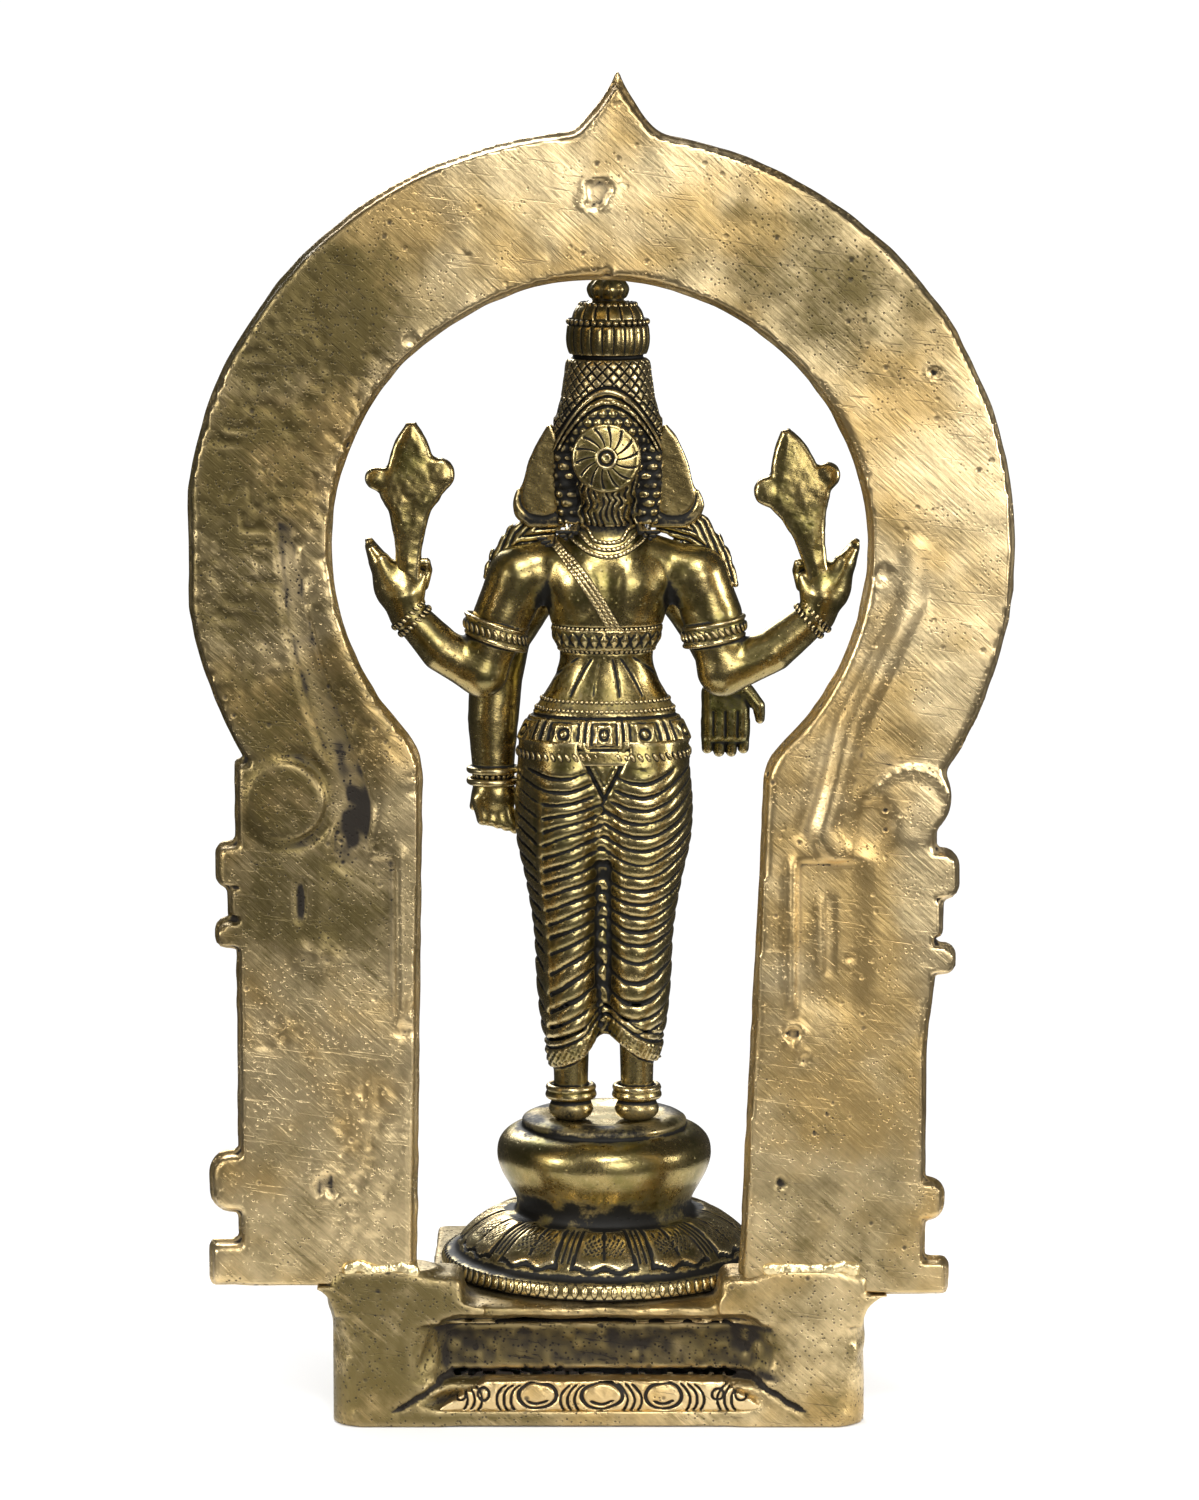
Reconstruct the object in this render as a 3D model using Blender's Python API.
"""Cast brass idol on a lotus pedestal, on a hollow base with a brazed horseshoe arch.

Units are metres. +Z is up, the figure faces -Y, and +X is the figure's left.
The origin is the centre of the base's underside.
"""

import math

import bmesh
import bpy
from mathutils import Matrix, Vector

# ---- driving dimensions ----------------------------------------------------
SEAT_GAP = 0.0003  # clearance between pieces that touch

BASE_HEIGHT = 0.0236  # underside to platform
BASE_FLARE = 0.0105  # plinth foot beyond the platform, at each side
PLATFORM_SIDE_MARGIN = 0.0014  # platform beyond the pedestal's foot ring
PLATFORM_END_MARGIN = 0.0019
PLATFORM_PLATE = 0.0042  # thickness of the top plate
BASE_WALL = 0.0036
LIP_HEIGHT = 0.0034
BAND_HEIGHT = 0.0050
COVE_DEPTH = 0.0030

LUG_HALF_SPAN = 0.0498  # outer side of each lug
LUG_TOP_WIDTH = 0.0200
LUG_FOOT_WIDTH = 0.0125
LUG_DEPTH = 0.0140
LUG_RISE = 0.0056  # lug tops above the platform

ARCH_THICKNESS = 0.0056
RING_OUTER_RADIUS = 0.0769
RING_WIDTH = 0.0272
RING_CENTRE_HEIGHT = 0.1664
FINIAL_HEIGHT = 0.0108
FINIAL_HALF_WIDTH = 0.0098
FINIAL_LEAN = -0.0031
LEFT_LEG_INNER = 0.0336
RIGHT_LEG_INNER = 0.0286
LEFT_LEG_WIDTH = 0.0348
RIGHT_LEG_WIDTH = 0.0330
CAPITAL_DROP = 0.0544  # capitals below the ring's centre
CAPITAL_STEP = 0.0040  # how far the capitals and mouldings stand out
FOOT_MOULD_HEIGHT = 0.0500
LEG_FOOT_DROP = 0.0044  # leg's foot slab below the brazed seam
BRAZE_THICKNESS = 0.0014

PEDESTAL_RADIUS = 0.0311
RING_BAND_HEIGHT = 0.0032
PETAL_HEIGHT = 0.0080
NECK_RADIUS = 0.0172
NECK_HEIGHT = 0.0030
CUSHION_RADIUS = 0.0207
CUSHION_HEIGHT = 0.0125
FOOT_DISC_RADIUS = 0.0160
FOOT_DISC_HEIGHT = 0.0026

LEG_HEIGHT = 0.0700  # soles to belt
TORSO_HEIGHT = 0.0420  # belt to neck base
NECK_LENGTH = 0.0060
HEAD_HEIGHT = 0.0205
CROWN_HEIGHT = 0.0232
BULB_RADIUS = 0.0038
HIP_HALF_WIDTH = 0.0176
HIP_HALF_DEPTH = 0.0115
KNEE_HALF_WIDTH = 0.0128
WAIST_HALF_WIDTH = 0.0088
CHEST_HALF_WIDTH = 0.0122
CHEST_HALF_DEPTH = 0.0085
ANKLE_RADIUS = 0.0026
ANKLE_SPREAD = 0.0066
FOOT_LENGTH = 0.0190
HEAD_HALF_WIDTH = 0.0082
CROWN_HALF_WIDTH = 0.0088
HEAD_DISC_RADIUS = 0.0070
HEAD_DISC_THICKNESS = 0.0022

SHOULDER_HALF_WIDTH = 0.0185
UPPER_ARM_RADIUS = 0.0044
FOREARM_RADIUS = 0.0033
UPPER_ARM_LENGTH = 0.0240
EMBLEM_HEIGHT = 0.0216
EMBLEM_HALF_WIDTH = 0.0084
EMBLEM_THICKNESS = 0.0040

STUD_RADIUS = 0.0030
STUD_LENGTH = 0.0200
STUD_ENGAGEMENT = 0.0090
WASHER_RADIUS = 0.0065
WASHER_THICKNESS = 0.0010
NUT_HALF_FLATS = 0.0050
NUT_THICKNESS = 0.0045
THREAD_CLEARANCE = 0.0003

FIGURE_LEAN = -0.0012  # the figure's axis stands a little to its right
ROUND_SIDES = 32
LIMB_SIDES = 12

# ---- levels and planes that follow from them -------------------------------
PLATFORM_HALF_WIDTH = PEDESTAL_RADIUS + PLATFORM_SIDE_MARGIN
BASE_HALF_WIDTH = PLATFORM_HALF_WIDTH + BASE_FLARE
BASE_HALF_DEPTH = PEDESTAL_RADIUS + PLATFORM_END_MARGIN
ARCH_BACK = BASE_HALF_DEPTH
ARCH_FRONT = ARCH_BACK - ARCH_THICKNESS
RING_INNER_RADIUS = RING_OUTER_RADIUS - RING_WIDTH
LUG_TOP_Z = BASE_HEIGHT + LUG_RISE
CAPITAL_HEIGHT = RING_CENTRE_HEIGHT - CAPITAL_DROP
SEAM_Z = LUG_TOP_Z + BRAZE_THICKNESS + 2 * SEAT_GAP
PEDESTAL_Z = BASE_HEIGHT + SEAT_GAP
PETAL_Z = PEDESTAL_Z + RING_BAND_HEIGHT
NECK_Z = PETAL_Z + PETAL_HEIGHT
CUSHION_Z = NECK_Z + NECK_HEIGHT
DISC_Z = CUSHION_Z + CUSHION_HEIGHT
SOLE_Z = DISC_Z + FOOT_DISC_HEIGHT + SEAT_GAP
BELT_Z = SOLE_Z + LEG_HEIGHT
NECK_BASE_Z = BELT_Z + TORSO_HEIGHT
CHIN_Z = NECK_BASE_Z + NECK_LENGTH
CROWN_Z = CHIN_Z + HEAD_HEIGHT


def clear_scene():
    """Remove the start-up objects."""
    for obj in list(bpy.data.objects):
        bpy.data.objects.remove(obj)


def finish(name, colour, roughness):
    """Return a brass material with its own colour and roughness."""
    material = bpy.data.materials.new(name)
    material.use_nodes = True
    shader = material.node_tree.nodes["Principled BSDF"]
    shader.inputs["Base Color"].default_value = (*colour, 1.0)
    shader.inputs["Metallic"].default_value = 1.0
    shader.inputs["Roughness"].default_value = roughness
    return material


def new_object(name, mesh_builder, material):
    """Make a named object from a bmesh, with outward normals."""
    bmesh.ops.remove_doubles(mesh_builder, verts=mesh_builder.verts, dist=1e-6)
    bmesh.ops.recalc_face_normals(mesh_builder, faces=mesh_builder.faces)
    mesh = bpy.data.meshes.new(name)
    mesh_builder.to_mesh(mesh)
    mesh_builder.free()
    mesh.materials.append(material)
    mesh.shade_smooth()
    mesh.set_sharp_from_angle(angle=math.radians(40))
    obj = bpy.data.objects.new(name, mesh)
    bpy.context.scene.collection.objects.link(obj)
    return obj


def loft(rings):
    """Bridge closed loops of equal length and cap both ends."""
    built = bmesh.new()
    loops = [[built.verts.new(point) for point in ring] for ring in rings]
    for low, high in zip(loops, loops[1:]):
        for i in range(len(low)):
            j = (i + 1) % len(low)
            built.faces.new((low[i], low[j], high[j], high[i]))
    built.faces.new(list(reversed(loops[0])))
    built.faces.new(loops[-1])
    return built


def oval(x, y, z, half_x, half_y, sides=ROUND_SIDES):
    """A level elliptical ring of points."""
    step = 2 * math.pi / sides
    return [
        Vector((x + half_x * math.cos(i * step), y + half_y * math.sin(i * step), z))
        for i in range(sides)
    ]


def rounded_box_ring(x0, x1, y0, y1, z, radius, corner_steps=4):
    """A level rectangle with round corners."""
    points = []
    corners = ((x1 - radius, y1 - radius, 0), (x0 + radius, y1 - radius, 1),
               (x0 + radius, y0 + radius, 2), (x1 - radius, y0 + radius, 3))
    for cx, cy, quarter in corners:
        for k in range(corner_steps + 1):
            angle = (quarter + k / corner_steps) * math.pi / 2
            points.append(Vector((cx + radius * math.cos(angle), cy + radius * math.sin(angle), z)))
    return points


def turned(profile, x=0.0, y=0.0, sides=ROUND_SIDES):
    """A solid of revolution: profile is (radius, z) from bottom to top."""
    return loft([oval(x, y, z, radius, radius, sides) for radius, z in profile])


def limb(points, radii, sides=LIMB_SIDES, flatness=1.0):
    """A tapering tube through points, with small rounded ends."""
    points = [Vector(point) for point in points]
    tangents = []
    for i in range(len(points)):
        before = points[max(i - 1, 0)]
        after = points[min(i + 1, len(points) - 1)]
        tangents.append((after - before).normalized())
    side = tangents[0].cross(Vector((0, 1, 0))).normalized()
    stations = []
    for point, tangent, radius in zip(points, tangents, radii):
        side = (side - tangent * side.dot(tangent)).normalized()
        stations.append((point, side, tangent.cross(side).normalized(), radius))
    first, last = stations[0], stations[-1]
    stations.insert(0, (first[0] - tangents[0] * first[3] * 0.6, first[1], first[2], first[3] * 0.55))
    stations.append((last[0] + tangents[-1] * last[3] * 0.6, last[1], last[2], last[3] * 0.55))
    step = 2 * math.pi / sides
    rings = []
    for point, across, other, radius in stations:
        rings.append([
            point + across * (radius * math.cos(i * step)) + other * (radius * flatness * math.sin(i * step))
            for i in range(sides)
        ])
    return loft(rings)


def plate(outline, y_front, y_back):
    """A flat plate: outline is (x, z) points, extruded along Y."""
    built = bmesh.new()
    front = [built.verts.new((x, y_front, z)) for x, z in outline]
    back = [built.verts.new((x, y_back, z)) for x, z in outline]
    count = len(outline)
    for i in range(count):
        j = (i + 1) % count
        built.faces.new((front[i], front[j], back[j], back[i]))
    built.faces.new(list(reversed(front)))
    built.faces.new(back)
    return built


def helper(obj):
    """Mark an object as a cutter or guide that is not part of the model."""
    obj.hide_render = True
    obj.display_type = "WIRE"
    return obj


def boolean(target, other, operation):
    """Add an exact Boolean of other to target."""
    modifier = target.modifiers.new(operation.title(), "BOOLEAN")
    modifier.operation = operation
    modifier.solver = "EXACT"
    modifier.object = other
    return modifier


def clearance_cutter(obj, gap=SEAT_GAP):
    """A helper that is obj grown by gap along its normals."""
    mesh = obj.data.copy()
    built = bmesh.new()
    built.from_mesh(mesh)
    built.normal_update()
    offsets = [vert.normal * gap for vert in built.verts]
    for vert, offset in zip(built.verts, offsets):
        vert.co += offset
    built.to_mesh(mesh)
    built.free()
    grown = bpy.data.objects.new(obj.name + "_clearance", mesh)
    bpy.context.scene.collection.objects.link(grown)
    return helper(grown)


def seat_against(target, *neighbours):
    """Cut target back so that it clears each neighbour."""
    for neighbour in neighbours:
        boolean(target, clearance_cutter(neighbour), "DIFFERENCE")


# ---- base ------------------------------------------------------------------
def build_base(material):
    """Moulded plinth with two lugs and a hollow underside."""
    side_fall = BASE_FLARE
    band_z = LIP_HEIGHT + BAND_HEIGHT
    plate_z = BASE_HEIGHT - PLATFORM_PLATE
    profile = (
        (0.0, 0.0, 0.0008),
        (0.0008, 0.0, 0.0),
        (LIP_HEIGHT - 0.0004, 0.0, 0.0),
        (LIP_HEIGHT, 0.06, 0.0008),
        (LIP_HEIGHT + 0.35 * BAND_HEIGHT, 0.10, 0.0002),
        (LIP_HEIGHT + 0.75 * BAND_HEIGHT, 0.20, 0.0007),
        (band_z, 0.38, 0.0026),
        (band_z + 0.0015, 0.72, COVE_DEPTH),
        (0.5 * (band_z + plate_z), 1.0, COVE_DEPTH * 0.85),
        (plate_z - 0.0006, 0.80, 0.0008),
        (plate_z + 0.0006, 0.0, 0.0),
        (BASE_HEIGHT - 0.0007, 0.0, 0.0),
        (BASE_HEIGHT, 0.0, 0.0007),
    )
    rings = []
    for z, fall, inset in profile:
        half = BASE_HALF_WIDTH - side_fall * fall if z < plate_z else PLATFORM_HALF_WIDTH
        half = half - inset * 0.4
        depth = BASE_HALF_DEPTH - inset
        rings.append(rounded_box_ring(-half, half, -depth, depth, z, 0.0030))
    base = new_object("base_casting", loft(rings), material)
    for name, sign in (("left", 1), ("right", -1)):
        lug = helper(new_object(f"{name}_lug_guide", lug_shape(sign), material))
        boolean(base, lug, "UNION")
    cavity_half = BASE_HALF_WIDTH - side_fall - BASE_WALL
    cavity_depth = BASE_HALF_DEPTH - COVE_DEPTH - BASE_WALL
    ceiling = BASE_HEIGHT - BASE_WALL
    cavity = loft([
        rounded_box_ring(-cavity_half, cavity_half, -cavity_depth, cavity_depth, z, 0.0040)
        for z in (-0.002, ceiling)
    ])
    boolean(base, helper(new_object("base_cavity", cavity, material)), "DIFFERENCE")
    hole_radius = STUD_RADIUS + THREAD_CLEARANCE
    hole = turned([(hole_radius, ceiling - 0.002), (hole_radius, BASE_HEIGHT + 0.002)], sides=24)
    boolean(base, helper(new_object("stud_hole", hole, material)), "DIFFERENCE")
    return base


def lug_shape(sign):
    """A thick round-cornered lug that flares towards its top."""
    outer = LUG_HALF_SPAN
    heights = (0.0, 0.0010, 0.30 * LUG_TOP_Z, 0.62 * LUG_TOP_Z, 0.85 * LUG_TOP_Z, LUG_TOP_Z)
    widths = (0.0, 0.08, 0.15, 0.55, 1.0, 1.0)
    rings = []
    for z, flare in zip(heights, widths):
        width = LUG_FOOT_WIDTH + (LUG_TOP_WIDTH - LUG_FOOT_WIDTH) * flare
        foot = 0.0010 if z == 0 else 0.0
        x0, x1 = sorted((sign * (outer - foot), sign * (outer - width)))
        rings.append(rounded_box_ring(x0, x1, BASE_HALF_DEPTH - LUG_DEPTH, BASE_HALF_DEPTH - foot, z, 0.0042))
    return loft(rings)


# ---- arch ------------------------------------------------------------------
def leg_outline(sign, inner, width):
    """Outer edge of a leg from its foot up to the ring, as (x, z)."""
    step = CAPITAL_STEP
    face = inner + width - step * 0.4
    low = SEAM_Z - LEG_FOOT_DROP
    mould = FOOT_MOULD_HEIGHT
    cap = CAPITAL_HEIGHT
    points = [
        (face + step, low), (face + step, low + 0.0085), (face + step * 0.4, low + 0.0100),
        (face + step * 0.5, mould - 0.0085), (face + step * 1.1, mould - 0.0040),
        (face + step, mould + 0.0020), (face, mould + 0.0048),
        (face, cap - 0.0270), (face + step * 0.9, cap - 0.0190), (face + step * 0.8, cap - 0.0155),
        (face + step * 0.3, cap - 0.0135), (face + step * 0.35, cap - 0.0095),
        (face + step, cap - 0.0065), (face + step * 0.9, cap - 0.0015), (face + step * 0.3, cap),
        (face - step * 0.9, cap + 0.0006), (face - step * 0.1, cap + 0.0080), (face, cap + 0.0125),
    ]
    return [(sign * x, z) for x, z in points]


def build_arch(material):
    """Flat horseshoe plate with stepped legs and a pointed finial."""
    centre = RING_CENTRE_HEIGHT
    outer, inner = RING_OUTER_RADIUS, RING_INNER_RADIUS
    joint_z = CAPITAL_HEIGHT + 0.0160
    outline = leg_outline(1, LEFT_LEG_INNER, LEFT_LEG_WIDTH)
    start = math.asin((joint_z + 0.003 - centre) / outer)
    peak = math.atan2(1.0, FINIAL_LEAN / outer)
    half = FINIAL_HALF_WIDTH / outer
    steps = 22
    for k in range(steps + 1):
        angle = start + (peak - half - start) * k / steps
        outline.append((outer * math.cos(angle), centre + outer * math.sin(angle)))
    tip_z = centre + outer + FINIAL_HEIGHT
    outline.append((FINIAL_LEAN + FINIAL_HALF_WIDTH * 0.42, centre + outer + FINIAL_HEIGHT * 0.42))
    outline.append((FINIAL_LEAN, tip_z))
    outline.append((FINIAL_LEAN - FINIAL_HALF_WIDTH * 0.42, centre + outer + FINIAL_HEIGHT * 0.42))
    for k in range(steps + 1):
        angle = peak + half + (math.pi - start - peak - half) * k / steps
        outline.append((outer * math.cos(angle), centre + outer * math.sin(angle)))
    outline += list(reversed(leg_outline(-1, RIGHT_LEG_INNER, RIGHT_LEG_WIDTH)))
    foot = SEAM_Z
    low = SEAM_Z - LEG_FOOT_DROP
    lug = LUG_HALF_SPAN + SEAT_GAP + 0.0006
    outline += [(-lug, low), (-lug, foot), (-RIGHT_LEG_INNER + 0.0022, foot)]
    outline += [(-RIGHT_LEG_INNER - 0.0006, CAPITAL_HEIGHT), (-RIGHT_LEG_INNER - 0.0022, joint_z - 0.0060)]
    bend = math.radians(-46)
    neck_steps = 18
    for k in range(neck_steps + 1):
        angle = math.pi - bend + (2 * bend - math.pi) * k / neck_steps
        outline.append((inner * math.cos(angle), centre + inner * math.sin(angle)))
    outline += [(LEFT_LEG_INNER - 0.0002, joint_z - 0.0050), (LEFT_LEG_INNER, CAPITAL_HEIGHT)]
    outline += [(LEFT_LEG_INNER + 0.0010, foot), (lug, foot), (lug, low)]
    return new_object("arch_casting", plate(outline, ARCH_FRONT, ARCH_BACK), material)


def build_braze(name, sign, inner, material):
    """Filler metal between a lug and the leg that stands on it."""
    x0 = sign * (max(inner, LUG_HALF_SPAN - LUG_TOP_WIDTH) + 0.0012)
    x1 = sign * (LUG_HALF_SPAN - 0.0016)
    low, high = sorted((x0, x1))
    z0 = LUG_TOP_Z + SEAT_GAP
    z1 = SEAM_Z - SEAT_GAP
    front, back = ARCH_FRONT + 0.0006, ARCH_BACK - 0.0006
    rings = [rounded_box_ring(low, high, front, back, z, 0.0012, 2) for z in (z0, z1)]
    return new_object(name, loft(rings), material)


# ---- pedestal and fixing ---------------------------------------------------
def build_pedestal(material):
    """Turned lotus pedestal with a blind hole for the stud."""
    ring = PEDESTAL_RADIUS
    waist = NECK_RADIUS
    profile = [
        (ring - 0.0010, PEDESTAL_Z), (ring, PEDESTAL_Z + 0.3 * RING_BAND_HEIGHT),
        (ring, PEDESTAL_Z + 0.7 * RING_BAND_HEIGHT), (ring - 0.0012, PETAL_Z),
        (ring - 0.0035, PETAL_Z + 0.12 * PETAL_HEIGHT),
        (waist + 0.62 * (ring - waist), PETAL_Z + 0.45 * PETAL_HEIGHT),
        (waist + 0.30 * (ring - waist), PETAL_Z + 0.82 * PETAL_HEIGHT),
        (waist + 0.0010, NECK_Z), (waist, NECK_Z + 0.5 * NECK_HEIGHT), (waist + 0.0008, CUSHION_Z),
        (CUSHION_RADIUS * 0.94, CUSHION_Z + 0.22 * CUSHION_HEIGHT),
        (CUSHION_RADIUS, CUSHION_Z + 0.55 * CUSHION_HEIGHT),
        (CUSHION_RADIUS * 0.96, CUSHION_Z + 0.80 * CUSHION_HEIGHT),
        (CUSHION_RADIUS * 0.86, DISC_Z),
        (FOOT_DISC_RADIUS, DISC_Z + 0.2 * FOOT_DISC_HEIGHT),
        (FOOT_DISC_RADIUS - 0.0012, DISC_Z + FOOT_DISC_HEIGHT),
    ]
    pedestal = new_object("lotus_pedestal", turned(profile, x=FIGURE_LEAN * 0.5), material)
    radius = STUD_RADIUS + THREAD_CLEARANCE
    top = BASE_HEIGHT + STUD_ENGAGEMENT + THREAD_CLEARANCE
    hole = turned([(radius, BASE_HEIGHT - 0.002), (radius, top)], sides=24)
    boolean(pedestal, helper(new_object("blind_hole", hole, material)), "DIFFERENCE")
    return pedestal


def build_fixing(material):
    """Stud, washer and nut that draw the pedestal onto the base."""
    top = BASE_HEIGHT + STUD_ENGAGEMENT
    bottom = top - STUD_LENGTH
    chamfer = 0.0004
    stud = turned([
        (STUD_RADIUS - chamfer, bottom), (STUD_RADIUS, bottom + chamfer),
        (STUD_RADIUS, top - chamfer), (STUD_RADIUS - chamfer, top),
    ], sides=24)
    new_object("fixing_stud", stud, material)
    ceiling = BASE_HEIGHT - BASE_WALL
    washer_top = ceiling - SEAT_GAP
    washer_low = washer_top - WASHER_THICKNESS
    washer = turned([(WASHER_RADIUS, washer_low), (WASHER_RADIUS, washer_top)], sides=24)
    washer_obj = new_object("fixing_washer", washer, material)
    nut_top = washer_low - SEAT_GAP
    nut_low = nut_top - NUT_THICKNESS
    corner = NUT_HALF_FLATS / math.cos(math.pi / 6)
    nut_obj = new_object("fixing_nut", turned([(corner, nut_low), (corner, nut_top)], sides=6), material)
    bore_radius = STUD_RADIUS + THREAD_CLEARANCE
    bore = turned([(bore_radius, nut_low - 0.002), (bore_radius, washer_top + 0.002)], sides=24)
    cutter = helper(new_object("nut_bore", bore, material))
    boolean(washer_obj, cutter, "DIFFERENCE")
    boolean(nut_obj, cutter, "DIFFERENCE")


# ---- figure ----------------------------------------------------------------
def build_body(material):
    """Dhoti, waist, chest and neck as one loft, with ankles and feet joined on."""
    x = FIGURE_LEAN
    hem = SOLE_Z + 0.0130
    rise = BELT_Z - hem
    torso = TORSO_HEIGHT
    stations = (
        (hem, 0.0, KNEE_HALF_WIDTH * 0.82, 0.0080, 0.0),
        (hem + 0.10 * rise, 0.0, KNEE_HALF_WIDTH * 0.94, 0.0088, 0.0),
        (hem + 0.25 * rise, 0.0, KNEE_HALF_WIDTH, 0.0092, 0.0),
        (hem + 0.45 * rise, 0.1, KNEE_HALF_WIDTH * 1.03, 0.0094, 0.0),
        (hem + 0.65 * rise, 0.3, HIP_HALF_WIDTH * 0.90, HIP_HALF_DEPTH * 0.94, 0.0004),
        (hem + 0.80 * rise, 0.4, HIP_HALF_WIDTH, HIP_HALF_DEPTH, 0.0006),
        (hem + 0.94 * rise, 0.5, HIP_HALF_WIDTH * 0.98, HIP_HALF_DEPTH * 0.96, 0.0004),
        (BELT_Z + 0.10 * torso, 0.6, HIP_HALF_WIDTH * 0.86, HIP_HALF_DEPTH * 0.84, 0.0),
        (BELT_Z + 0.24 * torso, 0.8, WAIST_HALF_WIDTH * 1.32, 0.0084, -0.0002),
        (BELT_Z + 0.42 * torso, 1.0, WAIST_HALF_WIDTH, 0.0070, 0.0),
        (BELT_Z + 0.58 * torso, 1.0, CHEST_HALF_WIDTH * 0.84, CHEST_HALF_DEPTH * 0.92, 0.0002),
        (BELT_Z + 0.78 * torso, 1.2, CHEST_HALF_WIDTH, CHEST_HALF_DEPTH, 0.0006),
        (BELT_Z + 0.90 * torso, 1.2, CHEST_HALF_WIDTH * 0.92, CHEST_HALF_DEPTH * 0.86, 0.0008),
        (NECK_BASE_Z, 1.1, CHEST_HALF_WIDTH * 0.50, CHEST_HALF_DEPTH * 0.62, 0.0010),
        (NECK_BASE_Z + 0.35 * NECK_LENGTH, 1.1, 0.0046, 0.0046, 0.0010),
        (CHIN_Z, 1.1, 0.0046, 0.0046, 0.0010),
    )
    rings = [
        oval(x * lean, shift, z, half_x, half_y) for z, lean, half_x, half_y, shift in stations
    ]
    body = new_object("figure_body", loft(rings), material)
    for name, sign in (("left", 1), ("right", -1)):
        ankle_x = x + sign * ANKLE_SPREAD
        leg = limb(
            [(ankle_x, 0.0030, hem + 0.0040), (ankle_x, 0.0030, SOLE_Z + 0.0060),
             (ankle_x, 0.0026, SOLE_Z + 0.0030)],
            [ANKLE_RADIUS * 1.15, ANKLE_RADIUS, ANKLE_RADIUS * 1.15],
        )
        boolean(body, helper(new_object(f"{name}_ankle_guide", leg, material)), "UNION")
        heel = 0.0062
        foot = loft([
            rounded_box_ring(ankle_x - wide, ankle_x + wide, heel - FOOT_LENGTH, heel, z, wide * 0.9, 3)
            for z, wide in ((SOLE_Z, 0.0036), (SOLE_Z + 0.0030, 0.0034), (SOLE_Z + 0.0046, 0.0024))
        ])
        boolean(body, helper(new_object(f"{name}_foot_guide", foot, material)), "UNION")
    return body


def build_head(material):
    """Head from chin to hairline, with the crown seated above it."""
    x = FIGURE_LEAN * 1.1
    z0 = CHIN_Z + SEAT_GAP
    height = CROWN_Z - z0
    stations = ((0.0, 0.50), (0.12, 0.74), (0.35, 0.96), (0.65, 1.0), (1.0, 0.98))
    rings = [
        oval(x, 0.0010 - 0.0006, z0 + height * t, HEAD_HALF_WIDTH * w, HEAD_HALF_WIDTH * 1.06 * w)
        for t, w in stations
    ]
    return new_object("head", loft(rings), material)


def build_crown(material):
    """Tall crown: drum, ribbed ring, dome and bulb."""
    x = FIGURE_LEAN * 1.1
    z0 = CROWN_Z + SEAT_GAP
    wide = CROWN_HALF_WIDTH
    tall = CROWN_HEIGHT
    profile = [
        (wide, z0), (wide * 0.90, z0 + 0.30 * tall), (wide * 0.82, z0 + 0.33 * tall),
        (wide * 0.89, z0 + 0.42 * tall), (wide * 0.87, z0 + 0.58 * tall),
        (wide * 0.74, z0 + 0.66 * tall), (wide * 0.58, z0 + 0.75 * tall),
        (BULB_RADIUS * 0.74, z0 + 0.80 * tall), (BULB_RADIUS, z0 + 0.89 * tall),
        (BULB_RADIUS * 0.7, z0 + 0.97 * tall), (BULB_RADIUS * 0.3, z0 + tall),
    ]
    return new_object("crown", turned(profile, x=x, y=0.0004, sides=24), material)


def build_head_disc(material, head):
    """Engraved wheel that stands off the back of the head."""
    x = FIGURE_LEAN * 1.1
    y0 = HEAD_HALF_WIDTH * 1.02
    z = CHIN_Z + 0.0100
    disc = turned([(HEAD_DISC_RADIUS, 0.0), (HEAD_DISC_RADIUS, HEAD_DISC_THICKNESS * 0.6),
                   (HEAD_DISC_RADIUS * 0.80, HEAD_DISC_THICKNESS)], sides=24)
    # The turned axis is laid along +Y, from the head outwards.
    bmesh.ops.transform(disc, matrix=Matrix.Translation((x, y0, z)) @ Matrix.Rotation(-math.pi / 2, 4, "X"),
                        verts=disc.verts)
    piece = new_object("rear_head_disc", disc, material)
    seat_against(piece, head)
    return piece


def rear_arm(name, sign, wrist, hand, material, body):
    """Upper arm down to the elbow, forearm up to a raised hand."""
    x = FIGURE_LEAN
    shoulder = Vector((x + sign * SHOULDER_HALF_WIDTH, 0.0010, NECK_BASE_Z - 0.0075))
    elbow = Vector((x + sign * (SHOULDER_HALF_WIDTH + 0.0044), 0.0025, shoulder.z - UPPER_ARM_LENGTH * 0.79))
    points = [shoulder, shoulder.lerp(elbow, 0.5), elbow, elbow.lerp(wrist, 0.5), wrist, hand]
    radii = [UPPER_ARM_RADIUS * 1.1, UPPER_ARM_RADIUS, FOREARM_RADIUS * 1.25, FOREARM_RADIUS,
             FOREARM_RADIUS * 0.85, FOREARM_RADIUS * 1.1]
    arm = new_object(name, limb(points, radii), material)
    seat_against(arm, body)
    return arm


def emblem(name, foot, tilt, material, arm):
    """Trefoil emblem on a short stem, standing on a rear hand."""
    half, tall = EMBLEM_HALF_WIDTH, EMBLEM_HEIGHT
    outline = [
        (0.20 * half, 0.0), (0.22 * half, 0.30 * tall), (0.45 * half, 0.42 * tall),
        (1.0 * half, 0.50 * tall), (1.0 * half, 0.66 * tall), (0.55 * half, 0.74 * tall),
        (0.36 * half, 0.88 * tall), (0.0, tall),
    ]
    outline += [(-px, pz) for px, pz in reversed(outline[:-1])]
    cos_t, sin_t = math.cos(tilt), math.sin(tilt)
    placed = [(foot.x + px * cos_t + pz * sin_t, foot.z - px * sin_t + pz * cos_t) for px, pz in outline]
    y = foot.y
    piece = new_object(name, plate(placed, y - EMBLEM_THICKNESS / 2, y + EMBLEM_THICKNESS / 2), material)
    seat_against(piece, arm)
    return piece


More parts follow.
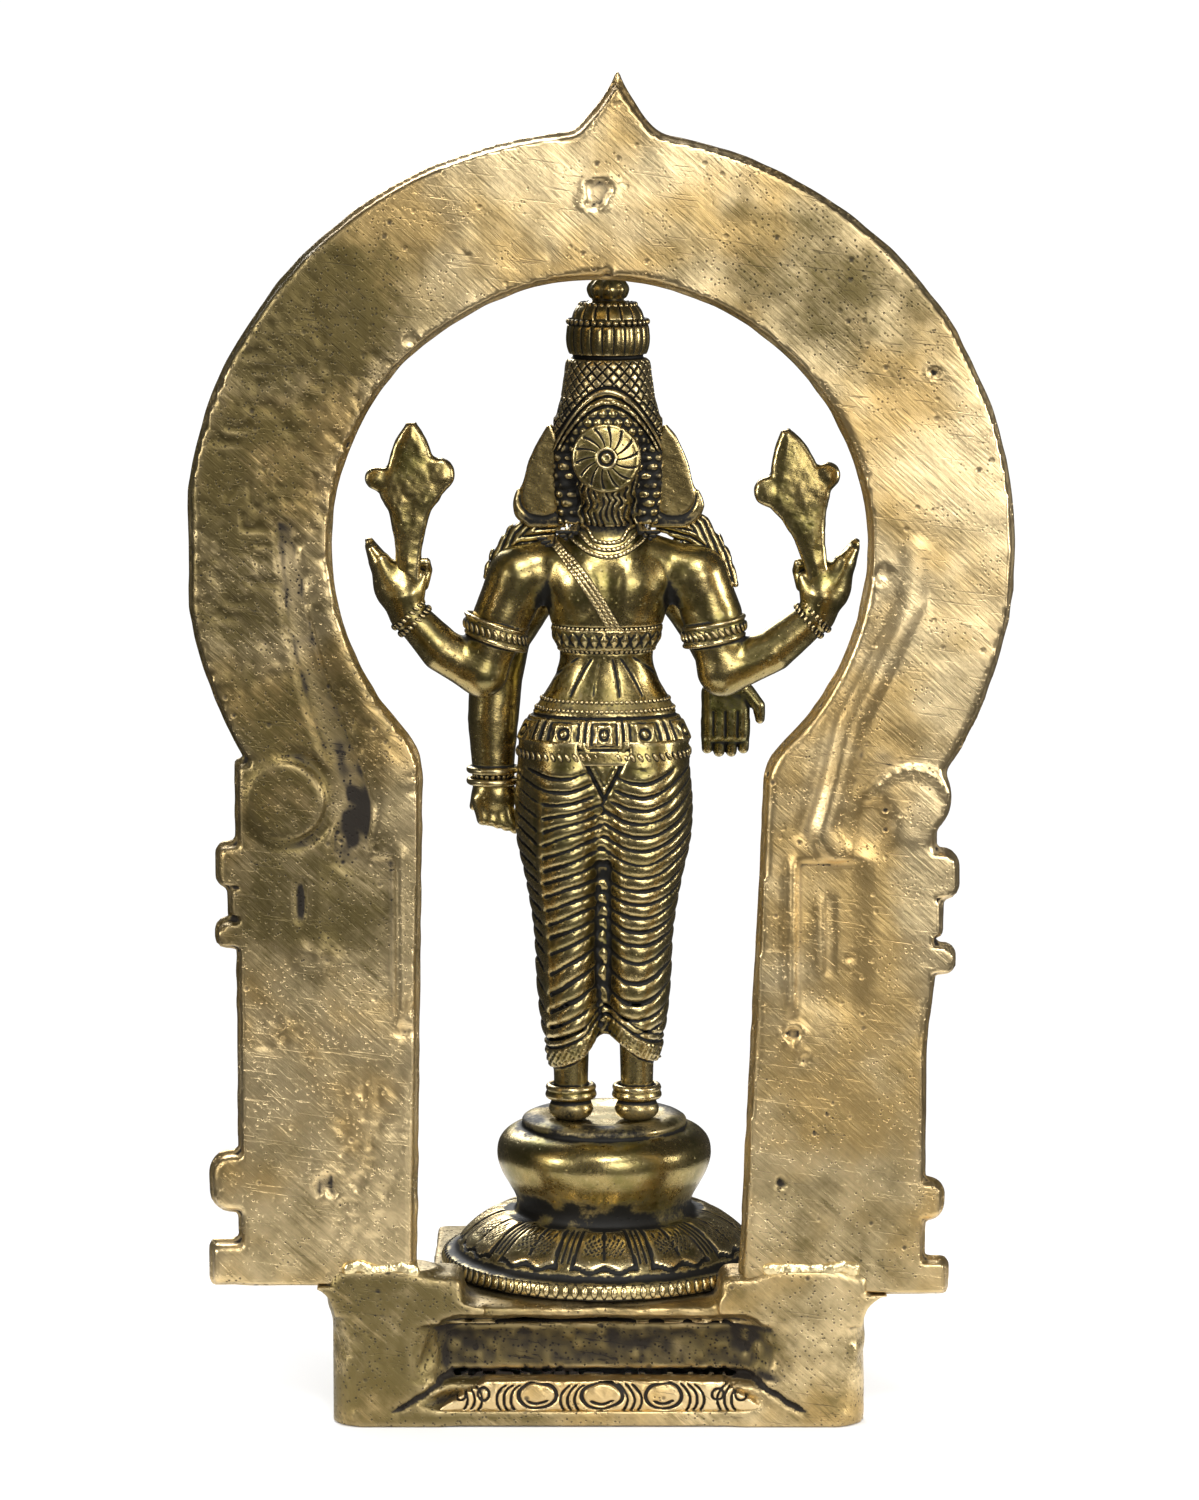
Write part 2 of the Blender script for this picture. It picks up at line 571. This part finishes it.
def build_arms(material, body, arms_clear_of):
    """Both pairs of arms, then the emblems on the rear hands."""
    x = FIGURE_LEAN
    level = NECK_BASE_Z
    reach = SHOULDER_HALF_WIDTH + 0.0210
    rear_left = rear_arm("rear_left_arm", 1, Vector((x + reach, 0.0030, level - 0.0135)),
                         Vector((x + reach - 0.0002, 0.0030, level - 0.0012)), material, body)
    rear_right = rear_arm("rear_right_arm", -1, Vector((x - reach - 0.0029, 0.0030, level - 0.0135)),
                          Vector((x - reach - 0.0008, 0.0030, level - 0.0012)), material, body)
    emblem("conch_emblem", Vector((x + reach - 0.0006, 0.0030, level)),
           math.radians(-7), material, rear_left)
    emblem("discus_emblem", Vector((x - reach, 0.0030, level)),
           math.radians(12), material, rear_right)
    hip_side = HIP_HALF_WIDTH + 0.0050
    elbow_z = level - UPPER_ARM_LENGTH * 1.15
    front_left = limb(
        [(x + SHOULDER_HALF_WIDTH - 0.0048, -0.0050, level - 0.0110),
         (x + SHOULDER_HALF_WIDTH + 0.0030, -0.0070, elbow_z),
         (x + hip_side, -0.0055, elbow_z - 0.0120), (x + hip_side, -0.0045, BELT_Z - 0.0040),
         (x + hip_side - 0.0005, -0.0045, BELT_Z - 0.0140)],
        [UPPER_ARM_RADIUS, UPPER_ARM_RADIUS, UPPER_ARM_RADIUS, FOREARM_RADIUS * 1.2, FOREARM_RADIUS * 1.15],
    )
    left_arm = new_object("front_left_arm", front_left, material)
    seat_against(left_arm, body, rear_left)
    front_right = limb(
        [(x - SHOULDER_HALF_WIDTH + 0.0048, -0.0050, level - 0.0110),
         (x - SHOULDER_HALF_WIDTH - 0.0030, -0.0065, elbow_z),
         (x - SHOULDER_HALF_WIDTH - 0.0038, -0.0140, elbow_z - 0.0030),
         (x - SHOULDER_HALF_WIDTH - 0.0042, -0.0165, elbow_z - 0.0080),
         (x - SHOULDER_HALF_WIDTH - 0.0042, -0.0165, elbow_z - 0.0150)],
        [UPPER_ARM_RADIUS, UPPER_ARM_RADIUS, FOREARM_RADIUS, FOREARM_RADIUS * 1.1, FOREARM_RADIUS * 1.1],
    )
    right_arm = new_object("front_right_arm", front_right, material)
    seat_against(right_arm, body, rear_right)
    return rear_left, rear_right


def build_ornaments(material, head, crown, body, arms):
    """Side flaps beside the head and leafy ornaments on the shoulders."""
    x = FIGURE_LEAN * 1.1
    for name, sign, arm in (("left", 1, arms[0]), ("right", -1, arms[1])):
        flap = limb(
            [(x + sign * (HEAD_HALF_WIDTH + 0.0014), 0.0020, CHIN_Z + 0.0170),
             (x + sign * (HEAD_HALF_WIDTH + 0.0030), 0.0020, CHIN_Z + 0.0080),
             (x + sign * (HEAD_HALF_WIDTH + 0.0046), 0.0020, CHIN_Z + 0.0010)],
            [0.0016, 0.0034, 0.0042], flatness=0.7,
        )
        piece = new_object(f"{name}_side_flap", flap, material)
        seat_against(piece, head, body, arm)
        shift = SHOULDER_HALF_WIDTH + 0.0004
        leaf = limb(
            [(x + sign * (shift - 0.0020), -0.0022, NECK_BASE_Z - 0.0010),
             (x + sign * (shift + 0.0026), -0.0022, NECK_BASE_Z - 0.0054),
             (x + sign * (shift + 0.0054), -0.0018, NECK_BASE_Z - 0.0112)],
            [0.0020, 0.0026, 0.0018], flatness=0.8,
        )
        ornament = new_object(f"{name}_shoulder_ornament", leaf, material)
        seat_against(ornament, body, arm, piece, bpy.data.objects[f"front_{name}_arm"])


def build_model():
    """Build every piece of the statue."""
    clear_scene()
    pale = finish("pale_filed_brass", (0.62, 0.50, 0.28), 0.34)
    dark = finish("antique_brass", (0.42, 0.33, 0.14), 0.30)
    solder = finish("braze_metal", (0.70, 0.58, 0.34), 0.28)
    steel = finish("plated_steel", (0.52, 0.52, 0.50), 0.35)
    build_base(pale.copy())
    build_arch(pale)
    build_braze("left_braze_joint", 1, LEFT_LEG_INNER, solder)
    build_braze("right_braze_joint", -1, RIGHT_LEG_INNER, solder)
    build_pedestal(dark.copy())
    build_fixing(steel)
    body = build_body(dark)
    head = build_head(dark.copy())
    crown = build_crown(dark.copy())
    build_head_disc(dark.copy(), head)
    arms = build_arms(dark, body, head)
    build_ornaments(dark, head, crown, body, arms)


build_model()
